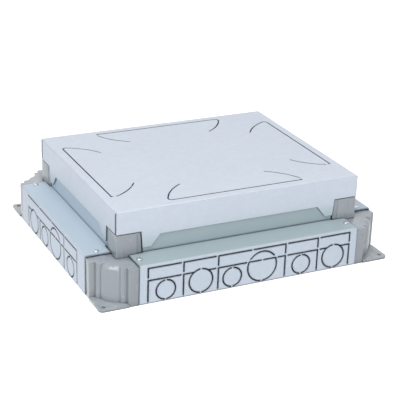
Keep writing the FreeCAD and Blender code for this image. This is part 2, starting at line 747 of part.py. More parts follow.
def protective_cover():
    """Folded lid: top plate with bend-down flaps, and four skirts with open seams beside the long ones."""
    outside = box(-cover_half_length, cover_half_length, -cover_half_width, cover_half_width,
                  skirt_foot, overall_height)
    at_top = lambda edge: edge.BoundBox.ZMin > overall_height - 0.01
    outside = fillet_where(outside, bend_outside, at_top)
    inner_length = cover_half_length - cover_sheet
    inner_width = cover_half_width - cover_sheet
    inside = box(-inner_length, inner_length, -inner_width, inner_width, skirt_foot - 1,
                 overall_height - cover_sheet)
    cuts = [inside]
    seam_start = cover_inset + cover_sheet
    cuts += four_corners(box(cover_inset - 1, seam_start + 0.5, seam_start, seam_start + seam,
                             skirt_foot - 1, overall_height - bend_outside))
    # the long flaps are half a turn apart, the short ones mirror images
    long_side = skirt_cuts(cover_half_width, cover_half_length)
    for cut in flap_cuts(cover_half_width, flap_half_long) + long_side:
        cuts += [cut, turned(cut, 180)]
    short_side = skirt_cuts(cover_half_length, cover_half_width)
    for cut in flap_cuts(cover_half_length, flap_half_short) + short_side:
        left = turned(cut, -90)
        cuts += [left, left.mirror(vec(0, 0, 0), vec(1, 0, 0))]
    return outside.cut(cuts)


export("protective_cover", protective_cover())


# ---------------------------------------------------------------- fasteners

ledge_screw = headed_screw(ledge_screw_shank, ledge_screw_head, pan_head_height, ledge_screw_length)
ledge_screw_place = corner_span + ledge_screw_inset
ledge_screws = []
for placed in (moved(ledge_screw, ledge_screw_place, ledge_screw_depth, ledge_height),
               moved(ledge_screw, ledge_screw_depth, ledge_screw_place, ledge_height)):
    ledge_screws += four_corners(placed)
export("ledge_screws", ledge_screws)

corner_screws = []
for placed in both_ways(corner_screw_axis(headed_screw(corner_screw_shank, corner_screw_head,
                                                       pan_head_height, corner_screw_length))):
    corner_screws += four_corners(placed)
export("frame_corner_screws", corner_screws)

# low-headed screws from below, with their heads in the flange's thickness
block_screw = headed_screw(block_screw_shank, block_screw_head, low_head_height, pillar_top - 3 - sheet)
block_screw = moved(block_screw.mirror(vec(0, 0, 0), vec(0, 0, 1)), block_screw_inset, block_screw_inset,
                    sheet)
export("block_screws", four_corners(block_screw))


stud_y = stud_line - half_width
export("earth_stud", rod(stud_x, stud_y, sheet - low_head_height, stud_height, stud_diameter))
washer = polygon_rod(stud_x, stud_y, plate_top, plate_top + washer_thickness, washer_diameter, round_sides)
stud_bore = polygon_rod(stud_x, stud_y, 0, stud_height, stud_diameter + 2 * bore_gap, round_sides)
export("earth_washer", washer.cut(stud_bore))
nut_foot = plate_top + washer_thickness
earth_nut = polygon_rod(stud_x, stud_y, nut_foot, nut_foot + earth_nut_height, earth_nut_flats, 6)
export("earth_nut", earth_nut.cut(stud_bore))
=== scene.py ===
import json
import math

import bmesh
import bpy
from mathutils import Matrix, Vector

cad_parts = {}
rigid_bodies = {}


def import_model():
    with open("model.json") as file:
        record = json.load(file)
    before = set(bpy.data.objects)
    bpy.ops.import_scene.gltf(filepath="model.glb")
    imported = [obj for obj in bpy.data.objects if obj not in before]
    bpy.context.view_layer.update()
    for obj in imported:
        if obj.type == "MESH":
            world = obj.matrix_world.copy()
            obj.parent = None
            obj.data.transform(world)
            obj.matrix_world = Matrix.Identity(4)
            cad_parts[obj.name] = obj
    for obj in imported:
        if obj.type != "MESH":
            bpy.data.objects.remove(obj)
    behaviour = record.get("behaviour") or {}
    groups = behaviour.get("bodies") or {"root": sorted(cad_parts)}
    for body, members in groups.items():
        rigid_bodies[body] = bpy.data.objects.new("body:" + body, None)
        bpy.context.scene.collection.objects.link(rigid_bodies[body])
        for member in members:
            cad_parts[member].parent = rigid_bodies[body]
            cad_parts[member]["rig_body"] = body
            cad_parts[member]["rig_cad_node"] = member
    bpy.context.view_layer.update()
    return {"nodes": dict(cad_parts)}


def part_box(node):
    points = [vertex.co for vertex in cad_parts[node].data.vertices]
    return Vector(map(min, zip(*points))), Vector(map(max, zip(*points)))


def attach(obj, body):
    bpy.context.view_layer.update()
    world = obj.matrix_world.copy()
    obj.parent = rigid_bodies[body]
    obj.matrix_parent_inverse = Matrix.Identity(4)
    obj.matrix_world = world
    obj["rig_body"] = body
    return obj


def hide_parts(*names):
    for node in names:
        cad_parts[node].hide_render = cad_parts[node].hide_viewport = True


# Looks of a floor socket box: galvanised sheet, grey moulded corners and small plated fasteners.
# Metres, +Z up, origin on the floor under the middle of the box, front towards -Y.

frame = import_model()
nodes = frame["nodes"]

# ---- sizes that the pieces share with the solids ----
MM = 0.001
CORNERS = {"front_left": (-1, -1), "front_right": (1, -1), "rear_left": (-1, 1), "rear_right": (1, 1)}
HALF_LENGTH = 163.0 * MM
HALF_WIDTH = 138.0 * MM
LEDGE_HEIGHT = 42.4 * MM
LEDGE_SCREW_PLACE = 46.2 * MM       # from the body's corner, along the wall
LEDGE_SCREW_DEPTH = 14.0 * MM       # from the wall's outer face
LEDGE_SCREW_HEAD = 5.6 * MM
LEDGE_SCREW_SHANK = 3.0 * MM
LEDGE_SCREW_LENGTH = 10.0 * MM
POST_SCREW_PLACE = 45.0 * MM        # screws that hold the posts to the frame
POST_SCREW_FACE = 33.9 * MM
POST_SCREW_HEIGHT = 58.9 * MM
POST_SCREW_HEAD = 7.0 * MM
POST_SCREW_SHANK = 4.0 * MM
POST_SCREW_LENGTH = 5.4 * MM
PAN_HEIGHT = 2.0 * MM
LEVELLING_PLACE = 41.0 * MM         # levelling screw's axis from both body faces
THREAD_DIAMETER = 6.0 * MM
THREAD_PITCH = 1.0 * MM
NUT_FLATS = 10.0 * MM
NUT_TOP = 50.0 * MM
NUT_HEIGHT = 5.0 * MM
JOURNAL_DIAMETER = 4.0 * MM
JOURNAL_FOOT = 5.0 * MM
COLLAR_FLATS = 8.0 * MM
COLLAR_FOOT = 14.15 * MM
COLLAR_HEIGHT = 2.0 * MM
SCREW_TOP = 80.0 * MM
END_LENGTH = 2.6 * MM               # plain end with the driver's slot
DRIVE_SLOT = 1.2 * MM
DRIVE_DEPTH = 2.0 * MM
BLOCK_SCREW_PLACE = 47.5 * MM       # screws that hold the blocks down, from both body faces
BLOCK_SCREW_HEAD = 7.0 * MM
BLOCK_SCREW_SHANK = 3.5 * MM
BLOCK_SCREW_SEAT = 10.0 * MM
BLOCK_SCREW_LENGTH = 9.8 * MM
LOW_HEIGHT = 1.0 * MM
EARTH_PITCH = 0.7 * MM
EARTH_NUT_FLATS = 7.0 * MM

# ---- finish ----
CUT_EDGE_SHADE = 1.9 * MM                 # reach of the painted shade along the break-outs' cut edges
THIN_EDGE_SHADE = 1.1 * MM                # and of the painted shade along the cover's and frame's edges
SHADE_BLUE = (0.035, 0.045, 0.065, 1)
# painted shade in the plastic's steps
STEP_SHADE_GREY = (0.10, 0.11, 0.12, 1)
# painted shade that dims the folds' highlight
FOLD_SHADE_GREY = (0.33, 0.36, 0.40, 1)
SHEET_DUST = (0.55, 0.53, 0.50, 1)
PLASTIC_DUST = (0.60, 0.58, 0.55, 1)
RUBBED_ZINC = (0.85, 0.85, 0.84, 1)
SHEET_METALLIC = 0.35
SHEET_ROUGHNESS = (0.46, 0.56)
SHEET_CREVICE = 4.0 * MM           # reach of the painted shade in the sheets' corners and gaps
DUST_SHARE = 0.05
FOLD_ROUGHENING = 0.6
PLASTIC_ROUGHNESS = (0.2, 0.32)
STEP_CREVICE = 13.0 * MM           # broad shade between the plastic's lobes and steps
CORNER_CREVICE = 2.5 * MM          # narrow shade in its inner corners
# reach of the painted highlight along the plastic's edges
PLASTIC_EDGE_HIGHLIGHT = 0.9 * MM
SCREW_WEAR = 0.25 * MM
ALONG_X = (5.0, 420.0, 420.0)      # rolling streaks drawn out along X
ALONG_Y = (420.0, 5.0, 420.0)
WALL_DARK = (0.50, 0.57, 0.66, 1)
WALL_LIGHT = (0.60, 0.67, 0.76, 1)
FRONT_LEDGE_SHADE_REFLECTION = (0.39, 0.475, 0.495, 1)    # painted shade and reflection on the ledges, greener than the walls below it
SIDE_LEDGE_SHADE_REFLECTION = (0.48, 0.575, 0.66, 1)
# painted reflection of the ledges, low on the cover's skirts
SKIRT_FOOT_REFLECTION = (0.50, 0.60, 0.62, 1)
SKIRT_TONE_FOOT = 64.0 * MM        # the skirts' painted reflection of the ledges starts here
SKIRT_TONE_FULL = 50.0 * MM        # and is full from here down
SKIRT_REFLECTION_SHARE = 0.7
LEDGE_BAND = 1.2 * MM              # the ledges' painted shade and reflection come in over this height
LEDGE_SHADE_REFLECTION_SHARE = 0.85
FOOT_SHADE_LINE = (1.6 * MM, 0.2 * MM, SHADE_BLUE, 0.6)    # painted shade line where the walls meet the floor
MERGE_REACH = 0.01 * MM            # corners of the solids closer than this are one
SOFT_EDGE_ANGLE = 38               # degrees; sharper edges are rounded
SOFT_SHADE_ANGLE = 32
BLOCK_EDGE = 0.6 * MM              # rounding of the moulded corners' edges
POST_EDGE = 0.3 * MM

# ---- floor, light and camera ----
FLOOR_SIZE = 30.0
FLOOR_DROP = 0.2 * MM
FLOOR_GREY = (0.6, 0.6, 0.6, 1)
FLOOR_GLOW = 0.79                  # with the world's light on it, the floor looks white
BRIGHT_SIDE = (-1.0, -0.15, 0.0)
WORLD_DIM = 0.08
WORLD_BRIGHT = 0.62
LAMPS = (                          # name, place, target, width, watts, colour
    ("key", (-0.6, -0.6, 1.9), (0, 0, 0.04), 1.8, 31, (1.0, 0.99, 0.98)),
    ("fill", (-0.5, -1.9, 0.6), (0, 0, 0.03), 0.8, 5, (0.96, 0.98, 1.0)),
    ("glint", (0.0, -1.2, 1.2), (-0.1, -0.1, 0.03), 0.1, 1.6, (1.0, 1.0, 1.0)),
)
AZIMUTH = math.radians(-26.278)
ELEVATION = math.radians(23.004)
ROLL = math.radians(1.941)
DISTANCE = 1345.5 * MM
SIDE_SHIFT = 6.67 * MM
UP_SHIFT = 34.89 * MM
LENS_LENGTH = 110.0                # millimetres, as Blender's cameras have it
SENSOR_WIDTH = 36.0


# ---------------------------------------------------------------- shader groups

def new_group(name, inputs, outputs):
    """Empty shader group with named sockets; returns it with its input and output nodes."""
    group = bpy.data.node_groups.new(name, "ShaderNodeTree")
    for label, kind, value in inputs:
        socket = group.interface.new_socket(name=label, in_out="INPUT", socket_type=kind)
        if value is not None:
            socket.default_value = value
    for label, kind in outputs:
        group.interface.new_socket(name=label, in_out="OUTPUT", socket_type=kind)
    return group, group.nodes.new("NodeGroupInput"), group.nodes.new("NodeGroupOutput")


def add(tree, kind, **settings):
    node = tree.nodes.new(kind)
    for key, value in settings.items():
        setattr(node, key, value)
    return node


def math_node(tree, operation, first, second, clamp=False):
    node = add(tree, "ShaderNodeMath", operation=operation, use_clamp=clamp)
    for socket, value in zip(node.inputs, (first, second)):
        if isinstance(value, (int, float)):
            socket.default_value = value
        else:
            tree.links.new(value, socket)
    return node.outputs[0]


def mixed_colour(tree, factor, first, second):
    node = add(tree, "ShaderNodeMix", data_type="RGBA")
    for socket, value in ((node.inputs[0], factor), (node.inputs[6], first), (node.inputs[7], second)):
        if isinstance(value, bpy.types.NodeSocket):
            tree.links.new(value, socket)
        else:
            socket.default_value = value
    return node.outputs[2]


def laid_over(tree, colour, mask_node, share, top_colour):
    """Lays a colour over another where a group's mask is high, up to the given share."""
    factor = math_node(tree, "MULTIPLY", mask_node.outputs["Mask"], share)
    return mixed_colour(tree, factor, colour, top_colour)


def spread(tree, value, low, high, to_low, to_high):
    node = add(tree, "ShaderNodeMapRange", clamp=True)
    tree.links.new(value, node.inputs[0])
    for index, number in enumerate((low, high, to_low, to_high), start=1):
        node.inputs[index].default_value = number
    return node.outputs[0]


def build_zinc_spangle():
    """Crystal pattern of hot-dip zinc: patches of slightly different brightness, and cloudy areas."""
    group, source, sink = new_group(
        "zinc_spangle",
        [("Vector", "NodeSocketVector", None), ("Patch Scale", "NodeSocketFloat", 220.0),
         ("Cloud Scale", "NodeSocketFloat", 14.0)],
        [("Patches", "NodeSocketFloat"), ("Clouds", "NodeSocketFloat"), ("Height", "NodeSocketFloat")])
    bend = add(group, "ShaderNodeTexNoise", noise_dimensions="3D")
    bend.inputs["Scale"].default_value = 60.0
    bend.inputs["Detail"].default_value = 2.0
    group.links.new(source.outputs["Vector"], bend.inputs["Vector"])
    shift = add(group, "ShaderNodeVectorMath", operation="MULTIPLY_ADD")
    group.links.new(bend.outputs["Color"], shift.inputs[0])
    shift.inputs[1].default_value = (0.006, 0.006, 0.006)
    group.links.new(source.outputs["Vector"], shift.inputs[2])
    cells = add(group, "ShaderNodeTexVoronoi", voronoi_dimensions="3D", feature="F1")
    group.links.new(shift.outputs[0], cells.inputs["Vector"])
    group.links.new(source.outputs["Patch Scale"], cells.inputs["Scale"])
    shade = add(group, "ShaderNodeSeparateColor")
    group.links.new(cells.outputs["Color"], shade.inputs[0])
    clouds = add(group, "ShaderNodeTexNoise", noise_dimensions="3D")
    group.links.new(source.outputs["Vector"], clouds.inputs["Vector"])
    group.links.new(source.outputs["Cloud Scale"], clouds.inputs["Scale"])
    clouds.inputs["Detail"].default_value = 4.0
    clouds.inputs["Roughness"].default_value = 0.6
    group.links.new(shade.outputs[0], sink.inputs["Patches"])
    group.links.new(clouds.outputs["Fac"], sink.inputs["Clouds"])
    group.links.new(cells.outputs["Distance"], sink.inputs["Height"])
    return group


def build_rolled_grain():
    """Fine drawn-out streaks left by the rolling mill, along the given stretch."""
    group, source, sink = new_group(
        "rolled_grain",
        [("Vector", "NodeSocketVector", None), ("Stretch", "NodeSocketVector", (4.0, 400.0, 400.0))],
        [("Streaks", "NodeSocketFloat"), ("Height", "NodeSocketFloat")])
    scaled = add(group, "ShaderNodeVectorMath", operation="MULTIPLY")
    group.links.new(source.outputs["Vector"], scaled.inputs[0])
    group.links.new(source.outputs["Stretch"], scaled.inputs[1])
    fine = add(group, "ShaderNodeTexNoise", noise_dimensions="3D")
    fine.inputs["Scale"].default_value = 1.0
    fine.inputs["Detail"].default_value = 3.0
    group.links.new(scaled.outputs[0], fine.inputs["Vector"])
    group.links.new(fine.outputs["Fac"], sink.inputs["Streaks"])
    group.links.new(fine.outputs["Fac"], sink.inputs["Height"])
    return group


def build_edge_wear_and_painted_light():
    """Mask of outer edges, rubbed or cut, broken up by noise down to the least share; it carries rubbed
    wear on the screws, painted shade along the sheets' edges and a painted highlight along the plastic's
    edges.
    """
    group, source, sink = new_group(
        "edge_wear_and_painted_light",
        [("Vector", "NodeSocketVector", None), ("Radius", "NodeSocketFloat", 0.0008),
         ("Break Up", "NodeSocketFloat", 260.0), ("Least Share", "NodeSocketFloat", 0.25)],
        [("Mask", "NodeSocketFloat")])
    rounded = add(group, "ShaderNodeBevel", samples=4)
    group.links.new(source.outputs["Radius"], rounded.inputs["Radius"])
    surface = add(group, "ShaderNodeNewGeometry")
    dot = add(group, "ShaderNodeVectorMath", operation="DOT_PRODUCT")
    group.links.new(rounded.outputs[0], dot.inputs[0])
    group.links.new(surface.outputs["Normal"], dot.inputs[1])
    edge = spread(group, dot.outputs["Value"], 0.86, 0.975, 1.0, 0.0)
    patches = add(group, "ShaderNodeTexNoise", noise_dimensions="3D")
    patches.inputs["Detail"].default_value = 3.0
    group.links.new(source.outputs["Vector"], patches.inputs["Vector"])
    group.links.new(source.outputs["Break Up"], patches.inputs["Scale"])
    broken = add(group, "ShaderNodeMapRange", clamp=True)
    group.links.new(patches.outputs["Fac"], broken.inputs["Value"])
    broken.inputs["From Min"].default_value = 0.35
    broken.inputs["From Max"].default_value = 0.65
    group.links.new(source.outputs["Least Share"], broken.inputs["To Min"])
    mask = math_node(group, "MULTIPLY", edge, broken.outputs["Result"], clamp=True)
    group.links.new(mask, sink.inputs["Mask"])
    return group


def build_crevice_shade():
    """Mask of corners, gaps and slots that light doesn't reach, for painted shade."""
    group, source, sink = new_group(
        "crevice_shade", [("Distance", "NodeSocketFloat", 0.003)], [("Mask", "NodeSocketFloat")])
    hidden = add(group, "ShaderNodeAmbientOcclusion", samples=16)
    group.links.new(source.outputs["Distance"], hidden.inputs["Distance"])
    group.links.new(spread(group, hidden.outputs["AO"], 0.35, 0.85, 1.0, 0.0), sink.inputs["Mask"])
    return group


def build_fold_mask():
    """Mask of the folds, where the face turns from level to upright."""
    group, source, sink = new_group("fold_mask", [("Width", "NodeSocketFloat", 1.0)],
                                    [("Mask", "NodeSocketFloat")])
    surface = add(group, "ShaderNodeNewGeometry")
    parts = add(group, "ShaderNodeSeparateXYZ")
    group.links.new(surface.outputs["Normal"], parts.inputs[0])
    level = math_node(group, "ABSOLUTE", parts.outputs["Z"], 0.0)
    upright = math_node(group, "SUBTRACT", 1.0, level)
    turned = math_node(group, "MULTIPLY", math_node(group, "MULTIPLY", level, upright), 4.0)
    mask = math_node(group, "MULTIPLY", turned, source.outputs["Width"], clamp=True)
    group.links.new(mask, sink.inputs["Mask"])
    return group


def build_height_band():
    """Rises from 0 to 1 between two heights above the floor."""
    group, source, sink = new_group(
        "height_band",
        [("Vector", "NodeSocketVector", None), ("Foot", "NodeSocketFloat", 0.0),
         ("Top", "NodeSocketFloat", 0.1)],
        [("Mask", "NodeSocketFloat")])
    parts = add(group, "ShaderNodeSeparateXYZ")
    group.links.new(source.outputs["Vector"], parts.inputs[0])
    band = add(group, "ShaderNodeMapRange", clamp=True)
    group.links.new(parts.outputs["Z"], band.inputs["Value"])
    group.links.new(source.outputs["Foot"], band.inputs["From Min"])
    group.links.new(source.outputs["Top"], band.inputs["From Max"])
    group.links.new(band.outputs["Result"], sink.inputs["Mask"])
    return group


def build_handling_dust():
    """Thin dust and handling marks: soft blotches that settle low down."""
    group, source, sink = new_group(
        "handling_dust",
        [("Vector", "NodeSocketVector", None), ("Scale", "NodeSocketFloat", 30.0),
         ("Foot Height", "NodeSocketFloat", 0.02)],
        [("Mask", "NodeSocketFloat")])
    blotches = add(group, "ShaderNodeTexNoise", noise_dimensions="3D")
    blotches.inputs["Detail"].default_value = 5.0
    group.links.new(source.outputs["Vector"], blotches.inputs["Vector"])
    group.links.new(source.outputs["Scale"], blotches.inputs["Scale"])
    parts = add(group, "ShaderNodeSeparateXYZ")
    group.links.new(source.outputs["Vector"], parts.inputs[0])
    low = math_node(group, "DIVIDE", parts.outputs["Z"], source.outputs["Foot Height"])
    low = math_node(group, "SUBTRACT", 1.0, low, clamp=True)
    spots = spread(group, blotches.outputs["Fac"], 0.5, 0.75, 0.0, 1.0)
    both = math_node(group, "ADD", spots, low, clamp=True)
    group.links.new(both, sink.inputs["Mask"])
    return group


zinc_spangle = build_zinc_spangle()
rolled_grain = build_rolled_grain()
edge_wear_and_painted_light = build_edge_wear_and_painted_light()
handling_dust = build_handling_dust()
crevice_shade = build_crevice_shade()
fold_mask = build_fold_mask()
height_band = build_height_band()


# ---------------------------------------------------------------- materials

def new_material(name, metallic, coat=0.0, coat_roughness=0.1, specular=0.5):
    """Principled material; what is the same all over is set on its own sockets."""
    material = bpy.data.materials.new(name)
    material.use_nodes = True
    tree = material.node_tree
    shader = tree.nodes["Principled BSDF"]
    shader.inputs["Metallic"].default_value = metallic
    shader.inputs["Coat Weight"].default_value = coat
    shader.inputs["Coat Roughness"].default_value = coat_roughness
    shader.inputs["Specular IOR Level"].default_value = specular
    place = add(tree, "ShaderNodeTexCoord").outputs["Object"]
    return material, tree, shader, place


def use_group(tree, group, place, **values):
    node = add(tree, "ShaderNodeGroup", node_tree=group)
    if "Vector" in node.inputs:
        tree.links.new(place, node.inputs["Vector"])
    for label, value in values.items():
        node.inputs[label.replace("_", " ")].default_value = value
    return node


def bump(tree, shader, height, strength, distance):
    node = add(tree, "ShaderNodeBump")
    node.inputs["Strength"].default_value = strength
    node.inputs["Distance"].default_value = distance
    tree.links.new(height, node.inputs["Height"])
    tree.links.new(node.outputs[0], shader.inputs["Normal"])


def galvanised_sheet(name, dark, light, stretch, patch_scale=220.0, painted_light_bands=(), crevice_shade_share=0.75,
                     fold_share=0.1, rim=CUT_EDGE_SHADE, rim_share=0.9):
    """Zinc-coated sheet: faint spangle and rolling streaks, rougher folds with painted shade that dims
    their highlight, painted shade in crevices and along cut edges, and a little dust.

    Each height band holds (foot, top, colour, share) for a stretch of height with painted light of its own:
    shade and reflection on the ledges, reflection low on the skirts, shade along the walls' foot.
    """
    material, tree, shader, place = new_material(name, SHEET_METALLIC)
    spangle = use_group(tree, zinc_spangle, place, Patch_Scale=patch_scale)
    grain = use_group(tree, rolled_grain, place, Stretch=stretch)
    edge_shade_mask = use_group(tree, edge_wear_and_painted_light, place, Radius=rim, Least_Share=0.8)
    folds = use_group(tree, fold_mask, place)
    crevice_shade_mask = use_group(tree, crevice_shade, place, Distance=SHEET_CREVICE)
    dusty = use_group(tree, handling_dust, place)
    tone = math_node(tree, "MULTIPLY", spangle.outputs["Patches"], 0.3)
    clouds = math_node(tree, "MULTIPLY", spangle.outputs["Clouds"], 0.55)
    streaks = math_node(tree, "MULTIPLY", grain.outputs["Streaks"], 0.15)
    tone = math_node(tree, "ADD", tone, clouds)
    tone = math_node(tree, "ADD", tone, streaks, clamp=True)
    colour = mixed_colour(tree, tone, dark, light)
    # painted shade and painted reflection in bands of height
    for foot, top, band_colour, share in painted_light_bands:
        band = use_group(tree, height_band, place, Foot=foot, Top=top)
        colour = laid_over(tree, colour, band, share, band_colour)
    colour = laid_over(tree, colour, dusty, DUST_SHARE, SHEET_DUST)
    # painted shade that dims the folds' highlight
    colour = laid_over(tree, colour, folds, fold_share, FOLD_SHADE_GREY)
    # painted shade in the sheet's corners, gaps and slots
    colour = laid_over(tree, colour, crevice_shade_mask, crevice_shade_share, SHADE_BLUE)
    # painted shade along the sheet's edges and cut edges
    colour = laid_over(tree, colour, edge_shade_mask, rim_share, SHADE_BLUE)
    tree.links.new(colour, shader.inputs["Base Color"])
    roughness = spread(tree, tone, 0.2, 0.8, *SHEET_ROUGHNESS)
    dulled = math_node(tree, "MULTIPLY", folds.outputs["Mask"], FOLD_ROUGHENING * fold_share)
    roughness = math_node(tree, "ADD", roughness, dulled, clamp=True)
    tree.links.new(roughness, shader.inputs["Roughness"])
    height = math_node(tree, "MULTIPLY", spangle.outputs["Height"], 0.3)
    height = math_node(tree, "ADD", height, grain.outputs["Height"])
    bump(tree, shader, height, 0.08, 0.12 * MM)
    return material


def moulded_plastic(name, base, edge_highlight_colour):
    """Grey moulding with a fine spark-eroded grain, a gloss, a painted highlight along its edges and
    painted shade in its steps and inner corners.
    """
    material, tree, shader, place = new_material(name, 0.0, coat=0.5, coat_roughness=0.12, specular=0.55)
    grain = add(tree, "ShaderNodeTexNoise", noise_dimensions="3D")
    grain.inputs["Scale"].default_value = 1800.0
    grain.inputs["Detail"].default_value = 2.0
    tree.links.new(place, grain.inputs["Vector"])
    flow = add(tree, "ShaderNodeTexNoise", noise_dimensions="3D")
    flow.inputs["Scale"].default_value = 35.0
    tree.links.new(place, flow.inputs["Vector"])
    wear_and_highlight_mask = use_group(tree, edge_wear_and_painted_light, place, Radius=PLASTIC_EDGE_HIGHLIGHT, Least_Share=0.85)
    crevice_shade_mask = use_group(tree, crevice_shade, place, Distance=STEP_CREVICE)
    inner_corners = use_group(tree, crevice_shade, place, Distance=CORNER_CREVICE)
    dusty = use_group(tree, handling_dust, place, Scale=45.0)
    darker = tuple(channel * 0.92 for channel in base[:3]) + (1,)
    colour = mixed_colour(tree, flow.outputs["Fac"], darker, base)
    # painted highlight along the edges
    colour = laid_over(tree, colour, wear_and_highlight_mask, 0.55, edge_highlight_colour)
    colour = laid_over(tree, colour, dusty, 0.06, PLASTIC_DUST)
    # painted shade in the steps and inner corners
    colour = laid_over(tree, colour, crevice_shade_mask, 0.38, STEP_SHADE_GREY)
    colour = laid_over(tree, colour, inner_corners, 0.75, SHADE_BLUE)
    tree.links.new(colour, shader.inputs["Base Color"])
    roughness = spread(tree, flow.outputs["Fac"], 0.3, 0.7, *PLASTIC_ROUGHNESS)
    tree.links.new(roughness, shader.inputs["Roughness"])
    bump(tree, shader, grain.outputs["Fac"], 0.05, 0.06 * MM)
    return material


def plated_steel(name, dark, light, rough=(0.2, 0.34)):
    """Bright zinc plating on small fasteners, turned marks and dull spots."""
    material, tree, shader, place = new_material(name, 1.0)
    grain = use_group(tree, rolled_grain, place, Stretch=(900.0, 900.0, 900.0))
    wear_and_highlight_mask = use_group(tree, edge_wear_and_painted_light, place, Radius=SCREW_WEAR, Break_Up=900.0)
    spots = add(tree, "ShaderNodeTexNoise", noise_dimensions="3D")
    spots.inputs["Scale"].default_value = 500.0
    tree.links.new(place, spots.inputs["Vector"])
    colour = mixed_colour(tree, spots.outputs["Fac"], dark, light)
    colour = laid_over(tree, colour, wear_and_highlight_mask, 0.6, RUBBED_ZINC)
    tree.links.new(colour, shader.inputs["Base Color"])
    roughness = spread(tree, grain.outputs["Streaks"], 0.3, 0.7, *rough)
    tree.links.new(roughness, shader.inputs["Roughness"])
    bump(tree, shader, grain.outputs["Height"], 0.1, 0.05 * MM)
    return material


cover_sheet = galvanised_sheet(
    "cover_sheet", (0.56, 0.62, 0.71, 1), (0.66, 0.72, 0.81, 1), ALONG_X,
    painted_light_bands=[(SKIRT_TONE_FOOT, SKIRT_TONE_FULL, SKIRT_FOOT_REFLECTION, SKIRT_REFLECTION_SHARE)], fold_share=0.25, rim=THIN_EDGE_SHADE)
long_wall_sheet = galvanised_sheet(
    "long_wall_sheet", WALL_DARK, WALL_LIGHT, ALONG_X,
    painted_light_bands=[(LEDGE_HEIGHT - LEDGE_BAND, LEDGE_HEIGHT, FRONT_LEDGE_SHADE_REFLECTION, LEDGE_SHADE_REFLECTION_SHARE), FOOT_SHADE_LINE])
short_wall_sheet = galvanised_sheet(
    "short_wall_sheet", WALL_DARK, WALL_LIGHT, ALONG_Y,
    painted_light_bands=[(LEDGE_HEIGHT - LEDGE_BAND, LEDGE_HEIGHT, SIDE_LEDGE_SHADE_REFLECTION, LEDGE_SHADE_REFLECTION_SHARE), FOOT_SHADE_LINE],
    crevice_shade_share=0.35, rim_share=0.75)
# darker copy of the wall sheet with strong crevice darkening: painted shade for the parts inside the box
# and under the cover's slots
shaded_inner_sheet = galvanised_sheet("shaded_inner_sheet", (0.42, 0.48, 0.54, 1), (0.54, 0.60, 0.67, 1), ALONG_X,
                               patch_scale=160.0, crevice_shade_share=0.97, rim=THIN_EDGE_SHADE)
corner_plastic = moulded_plastic("corner_plastic", (0.32, 0.36, 0.40, 1), (0.56, 0.60, 0.64, 1))
post_plastic = moulded_plastic("post_plastic", (0.325, 0.36, 0.395, 1), (0.52, 0.56, 0.60, 1))
bright_zinc = plated_steel("bright_zinc", (0.46, 0.47, 0.49, 1), (0.90, 0.91, 0.93, 1), rough=(0.1, 0.2))
dull_zinc = plated_steel("dull_zinc", (0.38, 0.39, 0.39, 1), (0.60, 0.60, 0.58, 1), rough=(0.3, 0.48))
yellow_zinc = plated_steel("yellow_zinc", (0.50, 0.43, 0.24, 1), (0.74, 0.66, 0.42, 1))


def finish_piece(piece, material):
    piece.data.materials.clear()
    piece.data.materials.append(material)


for name, node in nodes.items():
    if name in ("side_wall_front", "side_wall_back"):
        finish_piece(node, long_wall_sheet)
    elif name in ("side_wall_left", "side_wall_right"):
        finish_piece(node, short_wall_sheet)
    elif name == "protective_cover":
        finish_piece(node, cover_sheet)
    elif name.startswith("corner_block"):
        finish_piece(node, corner_plastic)
    elif name.startswith("corner_post"):
        finish_piece(node, post_plastic)
    elif name in ("base_plate", "frame_ring") or name.startswith("nut_bracket"):
        finish_piece(node, shaded_inner_sheet)
    elif name.startswith("earth"):
        finish_piece(node, yellow_zinc)
    elif name.startswith("levelling"):
        finish_piece(node, dull_zinc)
    else:
        finish_piece(node, bright_zinc)


# ---------------------------------------------------------------- modelling helpers

def deselect_all():
    if bpy.context.object and bpy.context.object.mode != "OBJECT":
        bpy.ops.object.mode_set(mode="OBJECT")
    bpy.ops.object.select_all(action="DESELECT")


def take(piece):
    deselect_all()
    piece.select_set(True)
    bpy.context.view_layer.objects.active = piece


def settle(piece):
    """Puts a piece's place and size into its mesh, so that its object sits at the origin."""
    take(piece)
    bpy.ops.object.transform_apply(location=True, rotation=True, scale=True)
    return piece


def apply_all(piece):
    take(piece)
    for modifier in list(piece.modifiers):
        bpy.ops.object.modifier_apply(modifier=modifier.name)


def select_faces(piece, wanted):
    """In edit mode, selects the faces for whose normal wanted(normal) is true."""
    bpy.ops.object.mode_set(mode="EDIT")
    bpy.ops.mesh.select_mode(type="FACE")
    bpy.ops.mesh.select_all(action="DESELECT")
    mesh = bmesh.from_edit_mesh(piece.data)
    for face in mesh.faces:
        face.select = bool(wanted(face.normal))
    mesh.select_flush_mode()
    bmesh.update_edit_mesh(piece.data)


def smooth(piece, degrees):
    take(piece)
    bpy.ops.object.shade_smooth_by_angle(angle=math.radians(degrees))


def softened_copy(node_name, width, segments=2):
    """Merged copy of a CAD node with small rounded edges, to stand in the node's place."""
    source = nodes[node_name]
    piece = source.copy()
    piece.data = source.data.copy()
    piece.name = node_name + "_finished"
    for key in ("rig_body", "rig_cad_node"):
        if key in piece:
            del piece[key]
    piece.parent = None
    piece.matrix_world = Matrix.Identity(4)
    bpy.context.scene.collection.objects.link(piece)
    take(piece)
    bpy.ops.object.mode_set(mode="EDIT")
    bpy.ops.mesh.select_all(action="SELECT")
    bpy.ops.mesh.remove_doubles(threshold=MERGE_REACH)
    bpy.ops.mesh.dissolve_limited(angle_limit=math.radians(0.5))
    bpy.ops.object.mode_set(mode="OBJECT")
    bevel = piece.modifiers.new("soft_edges", "BEVEL")
    bevel.width = width
    bevel.segments = segments
    bevel.limit_method = "ANGLE"
    bevel.angle_limit = math.radians(SOFT_EDGE_ANGLE)
    bevel.use_clamp_overlap = True
    apply_all(piece)
    smooth(piece, SOFT_SHADE_ANGLE)
    return piece


